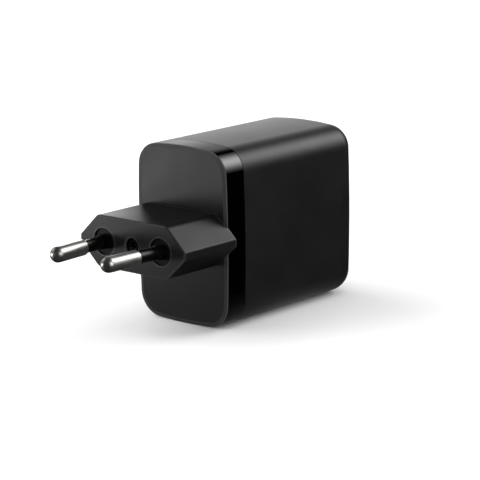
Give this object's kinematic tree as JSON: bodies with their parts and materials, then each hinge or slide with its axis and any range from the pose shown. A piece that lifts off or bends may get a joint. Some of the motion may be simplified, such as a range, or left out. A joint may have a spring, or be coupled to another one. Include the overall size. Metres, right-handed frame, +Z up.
{
  "type": "usb wall charger",
  "caption": "Compact black USB wall charger with a fixed European plug, a matte rounded body, a gloss ring near the plug and charging ports at the far end.",
  "frame": {"origin": "centre of the plug block's flat face, midway between the pins", "axes": "+Y from the plug face through the body to the ports, so the pins point along -Y; +Z up with the body standing on a narrow side; +X completes the frame, along the line from pin to pin"},
  "size_m": [0.0354, 0.0905, 0.046],
  "materials": {
    "shell_matte": "fine satin spark texture, black",
    "plate_matte": "fine satin texture, black",
    "band_gloss": "polished black",
    "plug_matte": "satin black moulding",
    "seat_matte": "satin black moulding",
    "sleeve_black": "smooth black sleeve",
    "pin_nickel": "satin nickel plating on brass",
    "screw_steel": "black-oxide steel",
    "port_steel": "stainless sheet",
    "port_insulator": "black moulded insulator",
    "contact_gold": "gold plated",
    "board_green": "green solder mask on glass epoxy",
    "pin_tin": "tin plated",
    "ferrite": "sintered dark grey ferrite",
    "bobbin_black": "black phenolic",
    "tape_yellow": "yellow polyester tape over copper wire",
    "copper": "enamelled copper wire",
    "can_aluminium": "drawn aluminium",
    "can_sleeve": "dark blue shrink sleeve, plain",
    "bung_rubber": "black rubber",
    "film_capacitor": "yellow box, plain",
    "disc_blue": "blue coated ceramic",
    "fuse_brown": "brown coated ceramic",
    "thermistor_black": "black coated ceramic",
    "chip_black": "moulded epoxy",
    "heat_aluminium": "rolled aluminium sheet",
    "wrap_film": "white insulating film",
    "pad_grey": "grey silicone pad",
    "wire_blue": "blue PVC",
    "wire_brown": "brown PVC"
  },
  "bodies": {
    "root": {"main_shell": "shell_matte", "gloss_band": "band_gloss", "front_plate": "plate_matte", "plug_block": "plug_matte", "pin_carrier": "seat_matte", "plug_screw": "screw_steel", "port_panel": "shell_matte", "port_board": "board_green", "usb_a_shell": "port_steel", "usb_a_insulator": "port_insulator", "usb_a_contacts": "contact_gold", "main_board": "board_green", "control_board": "board_green", "board_pins": "pin_tin", "transformer_core_lower": "ferrite", "transformer_core_upper": "ferrite", "transformer_bobbin": "bobbin_black", "transformer_primary": "copper", "transformer_secondary": "tape_yellow", "bulk_capacitor_bungs": "bung_rubber", "output_capacitors": "can_aluminium", "x_capacitor": "film_capacitor", "y_capacitor": "disc_blue", "fuse": "fuse_brown", "thermistor": "thermistor_black", "choke_core": "ferrite", "choke_windings": "copper", "bridge_rectifier": "chip_black", "power_switch": "chip_black", "controller_chips": "chip_black", "heat_spreader_left": "heat_aluminium", "heat_spreader_right": "heat_aluminium", "insulation_wrap": "wrap_film", "thermal_pad": "pad_grey", "neutral_wire": "wire_blue", "live_wire": "wire_brown", "pin_left": "pin_nickel", "pin_right": "pin_nickel", "sleeve_left": "sleeve_black", "sleeve_right": "sleeve_black", "usb_c_upper_shell": "port_steel", "usb_c_upper_insulator": "port_insulator", "usb_c_upper_contacts": "contact_gold", "usb_c_lower_shell": "port_steel", "usb_c_lower_insulator": "port_insulator", "usb_c_lower_contacts": "contact_gold", "bulk_capacitor_front_can": "can_aluminium", "bulk_capacitor_front_sleeve": "can_sleeve", "bulk_capacitor_rear_can": "can_aluminium", "bulk_capacitor_rear_sleeve": "can_sleeve"}
  },
  "joints": []
}
